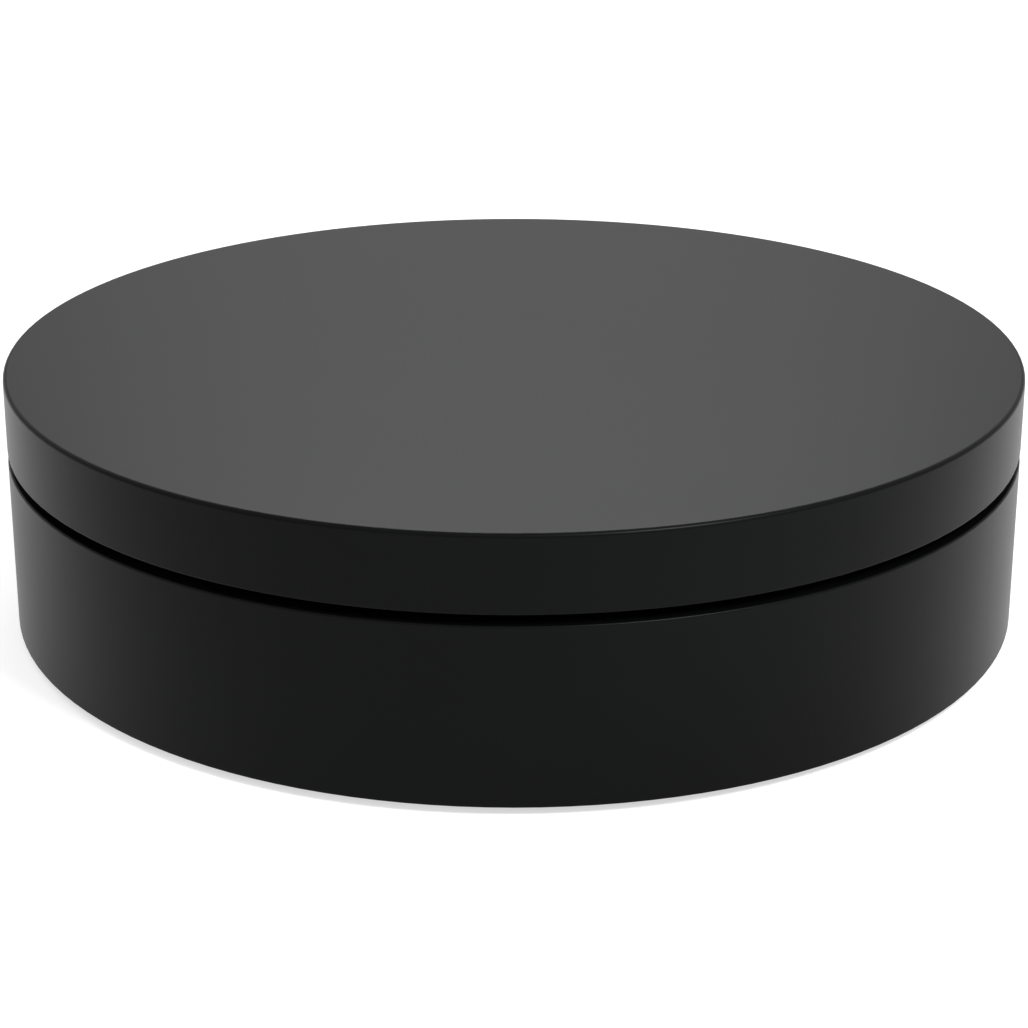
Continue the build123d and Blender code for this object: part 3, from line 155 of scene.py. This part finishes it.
# a wide softbox behind and above gives the plate's top its sheen, and a small one lights the
# table at the front right, which the drum's side reflects
softbox("back_softbox", 1.1, 0.4, 13.5, (0.0, 2.4, 1.55), (0.0, 0.0, 0.05))
softbox("table_softbox", 0.15, 0.15, 3.0, (0.3, -0.4, 0.5), (0.12, -0.17, 0.0))

# the camera looks down at the plate's middle from the front
sensor_width_mm = 36.0
lens_mm = 96.05
distance_in_radii = 5.45
sight_elevation = math.radians(17.71)
downward_pitch = math.radians(21.15)
lens_camera = bpy.data.cameras.new("camera")
lens_camera.sensor_width = sensor_width_mm
lens_camera.lens = lens_mm
camera = bpy.data.objects.new("camera", lens_camera)
plate_radius = (cad_high.x - cad_low.x) / 2
plate_level = cad_high.z
sight_distance = distance_in_radii * plate_radius
camera.location = (
    0.0,
    -sight_distance * math.cos(sight_elevation),
    plate_level + sight_distance * math.sin(sight_elevation),
)
camera.rotation_euler = (math.radians(90) - downward_pitch, 0.0, 0.0)
scene.collection.objects.link(camera)
scene.camera = camera

# ------------------------------------------------------------------ drum mouldings
# The plate, the base and the cover are injection moulded in black ABS, in a tool whose walls are
# spark eroded. That leaves a fine even grain with a soft sheen, and the melt's flow leaves a tone
# that drifts very slightly over each moulding.


# nearly all of a Noise texture's values lie between these two
noise_low, noise_high = 0.3, 0.7
plastic_sheen_swing = 0.01
metal_sheen_swing = 0.07


def new_material(name):
    """An empty node material: the material, its tree and its Object coordinates."""
    material = bpy.data.materials.new(name)
    material.use_nodes = True
    tree = material.node_tree
    tree.nodes.clear()
    return material, tree, add_node(tree, "ShaderNodeTexCoord").outputs["Object"]


def spread(tree, factor, low=0.0, high=1.0):
    """Stretches a noise value's usual range over the range from low to high."""
    stretched = add_node(
        tree,
        "ShaderNodeMapRange",
        inputs={
            "Value": factor,
            "From Min": noise_low,
            "From Max": noise_high,
            "To Min": low,
            "To Max": high,
        },
    )
    return stretched.outputs["Result"]


def bump(tree, height, strength, depth_mm):
    """The normal of a surface whose relief follows a height, at a depth in mm."""
    relief = add_node(
        tree,
        "ShaderNodeBump",
        inputs={"Height": height, "Strength": strength, "Distance": depth_mm / 1000.0},
    )
    return relief.outputs["Normal"]


def finish_surface(tree, inputs):
    """Ends a tree in a Principled shader with these inputs."""
    body = add_node(tree, "ShaderNodeBsdfPrincipled", inputs=inputs)
    add_node(tree, "ShaderNodeOutputMaterial", inputs={"Surface": body.outputs[0]})


def mix_colours(tree, factor, low, high):
    """A colour between two hex codes, low at the bottom of the noise range, high at its top."""
    share = spread(tree, factor)
    # a colour Mix node keeps its factor in socket 0, its colours in 6 and 7, its result in 2
    blend = add_node(
        tree,
        "ShaderNodeMix",
        {"data_type": "RGBA"},
        {0: share, 6: hex_linear(low), 7: hex_linear(high)},
    )
    return blend.outputs[2]


def plastic(name, colour, drift, roughness, specular, grain_mm, depth, seed=0.0):
    """A moulded plastic: grain is noise on Object coordinates, its size and depth given in mm.

    A broad noise, about 55 mm across, moves the colour towards its drift and the roughness by
    the plastic swing each way.
    """
    material, tree, place = new_material(name)
    grain = add_node(
        tree,
        "ShaderNodeTexNoise",
        {"noise_dimensions": "4D"},
        {
            "Vector": place,
            "W": seed,
            "Scale": 1000.0 / (2 * grain_mm),
            "Detail": 3.0,
            "Roughness": 0.6,
        },
    )
    cloud = add_node(
        tree,
        "ShaderNodeTexNoise",
        {"noise_dimensions": "4D"},
        {"Vector": place, "W": seed + 3.0, "Scale": 18.0, "Detail": 2.0},
    )
    drifting = cloud.outputs["Fac"]
    finish_surface(
        tree,
        {
            "Base Color": mix_colours(tree, drifting, colour, drift),
            "Roughness": spread(
                tree, drifting, roughness - plastic_sheen_swing, roughness + plastic_sheen_swing
            ),
            "Specular IOR Level": specular,
            "Normal": bump(tree, grain.outputs["Fac"], 0.35, depth),
        },
    )
    return material


def dress(material, *names):
    """Gives CAD nodes this material in every slot they have."""
    for name in names:
        mesh = nodes[name].data
        if not mesh.materials:
            mesh.materials.append(material)
        for index in range(len(mesh.materials)):
            mesh.materials[index] = material


# spark-eroded grain of about 0.3 mm
black_abs = plastic(
    "black ABS, spark-eroded grain", "#050506", "#070808", 0.34, 0.068, grain_mm=0.3, depth=0.012
)
dress(black_abs, "turntable_plate", "base_housing", "bottom_cover")

# ------------------------------------------------------------------ rubber feet
# Four moulded pads of black nitrile rubber, glued into recesses of the cover. Rubber is duller and
# a little greyer than the casing, with a paler bloom here and there.
foot_rubber = plastic(
    "nitrile rubber, matt", "#141413", "#1C1C1A", 0.78, 0.25, 0.5, 0.03, seed=2.0
)
dress(foot_rubber, *[f"foot_{n}" for n in range(1, 5)])

# ------------------------------------------------------------------ screws, shafts and pins
# Zinc-plated pan-head screws, whose plating has a faint cloudy mottle, and shafts and pins of
# steel ground on centres. Grinding leaves fine rings round the axis, with a soft straight sheen.


def metal(
    name, colour, tarnish, roughness, mark_mm, depth, sizes=(1.0, 1.0, 1.0), turn=0.0, seed=0.0
):
    """A metal whose fine marks are noise on Object coordinates, in mm.

    The marks are as long along X, Y and Z as the sizes say, after the axes are turned about Z. They
    move the colour towards its tarnish, and the roughness by up to the metal swing each way.
    """
    material, tree, place = new_material(name)
    drawn_out = add_node(
        tree,
        "ShaderNodeMapping",
        {"vector_type": "TEXTURE"},
        {"Vector": place, "Rotation": (0.0, 0.0, turn), "Scale": sizes},
    )
    marks = add_node(
        tree,
        "ShaderNodeTexNoise",
        {"noise_dimensions": "4D"},
        {
            "Vector": drawn_out.outputs["Vector"],
            "W": seed,
            "Scale": 1000.0 / (2 * mark_mm),
            "Detail": 4.0,
        },
    )
    wear = marks.outputs["Fac"]
    finish_surface(
        tree,
        {
            "Base Color": mix_colours(tree, wear, colour, tarnish),
            "Metallic": 1.0,
            "Roughness": spread(
                tree, wear, roughness - metal_sheen_swing, roughness + metal_sheen_swing
            ),
            "Normal": bump(tree, wear, 0.3, depth),
        },
    )
    return material


zinc_plate = metal("zinc-plated steel", "#BCBEC2", "#A9ABAE", 0.34, 0.4, 0.01)
dress(
    zinc_plate,
    "cover_screws",
    "gearbox_screws",
    "gearbox_mount_screws",
    "motor_screws",
    "hub_screws",
)

# the marks are a tenth as long along the axis as round it
ring_marks = 0.1
upright_steel = metal(
    "ground steel, upright",
    "#A9ABAF",
    "#9C9DA0",
    0.24,
    0.6,
    0.006,
    (1.0, 1.0, ring_marks),
    seed=1.0,
)
dress(upright_steel, "output_shaft", "shaft_circlip", "thrust_washer", "idler_pin", "worm_gear_pin")
lying_steel = metal(
    "ground steel, lying", "#A9ABAF", "#9C9DA0", 0.24, 0.6, 0.006, (1.0, ring_marks, 1.0), seed=1.5
)
dress(lying_steel, "motor_shaft", "hub_roll_pin")
for number in range(1, 5):
    # each roller's pin points away from the stand's middle
    pin_low, pin_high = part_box(f"roller_axle_{number}")
    pin_middle = (Vector(pin_low) + Vector(pin_high)) / 2
    pin_steel = metal(
        f"ground steel, roller pin {number}",
        "#A9ABAF",
        "#9C9DA0",
        0.24,
        0.6,
        0.006,
        (ring_marks, 1.0, 1.0),
        turn=math.atan2(pin_middle.y, pin_middle.x),
        seed=1.0 + number,
    )
    dress(pin_steel, f"roller_axle_{number}")

# ------------------------------------------------------------------ drive hub, gears and worm
# The hub is turned aluminium. The gears and rollers are natural acetal, a milky white plastic that
# lets a little light in, and the worm is free-cutting brass running in sintered bronze bushes.
turned_aluminium = metal(
    "turned aluminium", "#D8D9DB", "#C6C7C9", 0.30, 0.6, 0.01, (1.0, 1.0, 0.2), seed=2.0
)
dress(turned_aluminium, "drive_hub")

acetal = plastic("natural acetal, moulded", "#E6E3D9", "#DEDACC", 0.38, 0.5, 0.25, 0.004, seed=4.0)
acetal_shader = next(n for n in acetal.node_tree.nodes if n.type == "BSDF_PRINCIPLED")
acetal_shader.inputs["Subsurface Weight"].default_value = 0.15
acetal_shader.inputs["Subsurface Radius"].default_value = (0.0012, 0.0011, 0.0009)
dress(acetal, "output_gear", "idler_gear", "worm_gear", *[f"roller_{n}" for n in range(1, 5)])

free_cutting_brass = metal(
    "free-cutting brass", "#D6B36C", "#BE974F", 0.26, 0.5, 0.008, (1.0, 0.2, 1.0), seed=3.0
)
dress(free_cutting_brass, "worm")
# the pores between the sintered grains hold oil, so the surface is dark and speckled
sintered_bronze = metal("sintered bronze, oiled", "#A27A4E", "#74512F", 0.46, 0.12, 0.03, seed=4.0)
dress(sintered_bronze, "lower_bush", "upper_bush")

# ------------------------------------------------------------------ gearbox case
# Glass-filled nylon, moulded dark grey. The fibres lie along the flow of the melt, down the length
# of the case, and leave short pale streaks on its skin.
filled_nylon = plastic("glass-filled nylon", "#27282A", "#2E2F31", 0.52, 0.4, 0.35, 0.03, seed=5.0)
fibre_length_mm = 1.2
fibre_width_mm = 0.15
nylon_tree = filled_nylon.node_tree
nylon_shader = next(n for n in nylon_tree.nodes if n.type == "BSDF_PRINCIPLED")
nylon_tone = nylon_shader.inputs["Base Color"].links[0].from_socket
nylon_place = add_node(nylon_tree, "ShaderNodeTexCoord")
fibre_grid = add_node(
    nylon_tree,
    "ShaderNodeMapping",
    {"vector_type": "TEXTURE"},
    {
        "Vector": nylon_place.outputs["Object"],
        "Scale": [size / 1000.0 for size in (fibre_width_mm, fibre_length_mm, fibre_width_mm)],
    },
)
fibres = add_node(
    nylon_tree,
    "ShaderNodeTexNoise",
    inputs={"Vector": fibre_grid.outputs["Vector"], "Scale": 0.5, "Detail": 1.0},
)
fibre_share = add_node(
    nylon_tree,
    "ShaderNodeMapRange",
    inputs={"Value": fibres.outputs["Fac"], "From Min": 0.62, "From Max": 0.72, "To Max": 0.35},
)
streaked = add_node(
    nylon_tree,
    "ShaderNodeMix",
    {"data_type": "RGBA"},
    {0: fibre_share.outputs["Result"], 6: nylon_tone, 7: hex_linear("#77797B")},
)
nylon_tree.links.new(streaked.outputs[2], nylon_shader.inputs["Base Color"])
dress(filled_nylon, "gearbox_housing", "gearbox_lid")

# ------------------------------------------------------------------ motor
# A drawn steel can, nickel plated, with ferrite magnets, a laminated rotor wound with enamelled
# copper, a copper commutator, carbon brushes and a nylon end cap.
nickel_can = metal(
    "nickel-plated drawn steel", "#B7B4AD", "#A5A199", 0.27, 0.4, 0.004, (1.0, 8.0, 1.0), seed=5.0
)
dress(nickel_can, "motor_can")

motor_joint = next(j for j in frame["joints"] if j["name"] == "motor_spin")
motor_axis_point = tuple(motor_joint["pos_m"])
# a Wave texture of scale 1 repeats every 2 pi / 20
wave_period = 2 * math.pi / 20


def stacked_metal(name, colour, groove_shade, roughness, spacing_mm, wave_type):
    """A metal built in layers: a wave about the motor's axis (RINGS) or along it (BANDS).

    The wave's trough is the hollow between two layers, painted darker as shade; its period is the
    spacing in mm.
    """
    material, tree, place = new_material(name)
    centred = add_node(
        tree,
        "ShaderNodeMapping",
        {"vector_type": "TEXTURE"},
        {"Vector": place, "Location": motor_axis_point},
    )
    layers = add_node(
        tree,
        "ShaderNodeTexWave",
        {"wave_type": wave_type, "bands_direction": "Y", "rings_direction": "Y"},
        {
            "Vector": centred.outputs["Vector"],
            "Scale": wave_period / (spacing_mm / 1000.0),
            "Distortion": 0.3,
        },
    )
    height = layers.outputs["Fac"]
    # painted shade: the colour falls to the darker trough colour in each wave's hollow, where shade
    # falls between layers
    finish_surface(
        tree,
        {
            "Base Color": mix_colours(tree, height, groove_shade, colour),
            "Metallic": 1.0,
            "Roughness": roughness,
            "Normal": bump(tree, height, 0.6, 0.2 * spacing_mm),
        },
    )
    return material


# sheets 0.5 mm thick stacked along the shaft, with painted shade in the hollows between them
stacked_laminations = stacked_metal(
    "electrical steel laminations", "#77787A", "#4E4F50", 0.5, 0.5, "BANDS"
)
dress(stacked_laminations, "motor_armature")
# wire 0.35 mm thick, each turn further from the shaft than the last, with painted shade in the
# hollows between turns
enamelled_copper = stacked_metal("enamelled copper wire", "#BC6733", "#71371A", 0.33, 0.35, "RINGS")
dress(enamelled_copper, "motor_windings")
bare_copper = metal("bare copper", "#C4805A", "#A2603E", 0.3, 0.5, 0.006, (1.0, 0.2, 1.0), seed=7.0)
dress(bare_copper, "motor_commutator")
ferrite = plastic("sintered ferrite", "#242426", "#2D2D30", 0.6, 0.5, 0.1, 0.02, seed=6.0)
dress(ferrite, "motor_magnets")
carbon = plastic("carbon graphite", "#19191A", "#222224", 0.45, 0.6, 0.08, 0.01, seed=6.5)
dress(carbon, "motor_brushes")
natural_nylon = plastic(
    "natural nylon, moulded", "#D8D5C8", "#CDC9B9", 0.42, 0.5, 0.3, 0.006, seed=7.0
)
dress(natural_nylon, "motor_end_cap")
tinned_brass = metal("tinned brass", "#CCC6B4", "#B5AD97", 0.32, 0.15, 0.006, seed=8.0)
dress(tinned_brass, "motor_terminals", "switch_tabs", "jack_sleeve_tab", "jack_pin")

# ------------------------------------------------------------------ rocker switch
# A snap-in switch in black nylon, glossier than the casing, with a line and a ring printed in
# white on the two ends of the rocker. The marks are pad printed, a few hundredths thick.
switch_nylon = plastic(
    "black nylon, semi-gloss", "#0B0B0C", "#0F0F10", 0.27, 0.4, 0.25, 0.004, seed=8.0
)
dress(switch_nylon, "switch_body", "rocker_button", "jack_body")

rocker_joint = next(j for j in frame["joints"] if j["name"] == "power_rocker")
pivot = np.array(rocker_joint["pos_m"])
# half of the rocker's 22 degrees of travel
rocker_tilt = math.radians(22.0 / 2)
facet_run_mm = 7.3
facet_climb_mm = 1.6
facet_slope = math.atan2(facet_climb_mm, facet_run_mm)
facet_middle_mm = 3.9
facet_rise_mm = 3.4
print_thickness_mm = 0.05
print_sink_mm = 0.02
pad_print = plastic(
    "white pad-printing ink", "#EAEAE7", "#E2E2DE", 0.5, 0.5, 0.12, 0.003, seed=11.0
)


def on_facet(side, u, v, lift):
    """Points on a rocker facet, in metres: u runs along the facet, v up it, and lift off it.

    The facet is a straight line that climbs from the rocker's middle at the facet slope. The whole
    is then turned about the pivot by the tilt.
    """
    along = side * (facet_middle_mm + u * side)
    x = along - side * lift * math.sin(facet_slope)
    y = facet_rise_mm + abs(math.tan(facet_slope)) * np.abs(along) + lift * math.cos(facet_slope)
    turned_x = x * math.cos(rocker_tilt) - y * math.sin(rocker_tilt)
    turned_y = x * math.sin(rocker_tilt) + y * math.cos(rocker_tilt)
    return np.stack([turned_x, turned_y, v], axis=-1) / 1000 + pivot


def printed_mark(name, side, outlines):
    """A thin printed shape between closed outlines: one outline fills, two leave a ring."""
    count = len(outlines[0][0])
    lifts = (-print_sink_mm, print_thickness_mm)
    layers = [on_facet(side, u, v, lift) for u, v in outlines for lift in lifts]
    points = np.concatenate(layers)
    near = np.arange(count)
    far = (near + 1) % count
    quads = np.stack([near, far, far + count, near + count], axis=-1)
    faces = quads.tolist()
    if len(outlines) == 1:
        faces += [near[::-1].tolist(), (near + count).tolist()]
    else:
        inner = 2 * count
        faces += (quads[:, ::-1] + inner).tolist()
        faces += np.stack([near + inner, far + inner, far, near], axis=-1).tolist()
        faces += np.stack(
            [near + count, far + count, far + count + inner, near + count + inner], axis=-1
        ).tolist()
    mesh = bpy.data.meshes.new(name)
    mesh.from_pydata(points.tolist(), [], faces)
    shell = bmesh.new()
    shell.from_mesh(mesh)
    bmesh.ops.recalc_face_normals(shell, faces=shell.faces[:])
    shell.to_mesh(mesh)
    shell.free()
    mark = bpy.data.objects.new(name, mesh)
    scene.collection.objects.link(mark)
    mesh.materials.append(pad_print)
    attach(mark, "rocker")


mark_half_height_mm = 1.9
ring_inner_mm = 1.35
bar_half_width_mm = 0.32
around = np.linspace(0, 2 * np.pi, 64, endpoint=False)
across, up = np.cos(around), np.sin(around)
ring_outlines = [(radius * across, radius * up) for radius in (mark_half_height_mm, ring_inner_mm)]
printed_mark("rocker_off_ring", -1, ring_outlines)
# a bar with rounded ends: a superellipse of power 6
bar_u = bar_half_width_mm * np.sign(across) * np.abs(across) ** (1 / 3)
bar_v = mark_half_height_mm * np.sign(up) * np.abs(up) ** (1 / 3)
printed_mark("rocker_on_bar", 1, [(bar_u, bar_v)])

# ------------------------------------------------------------------ inlet nut and leads
# The nut is nickel-plated brass. The leads are tinned copper in coloured PVC, soft and slightly
# glossy.
plated_nut = metal("nickel-plated brass", "#C0BEB7", "#ABA8A0", 0.25, 0.2, 0.004, seed=9.0)
dress(plated_nut, "jack_nut")
red_pvc = plastic("red PVC insulation", "#A51F19", "#951A16", 0.36, 0.5, 0.4, 0.003, seed=9.0)
dress(red_pvc, "lead_inlet_switch", "lead_switch_motor")
black_pvc = plastic("black PVC insulation", "#121213", "#181819", 0.36, 0.5, 0.4, 0.003, seed=10.0)
dress(black_pvc, "lead_inlet_motor")
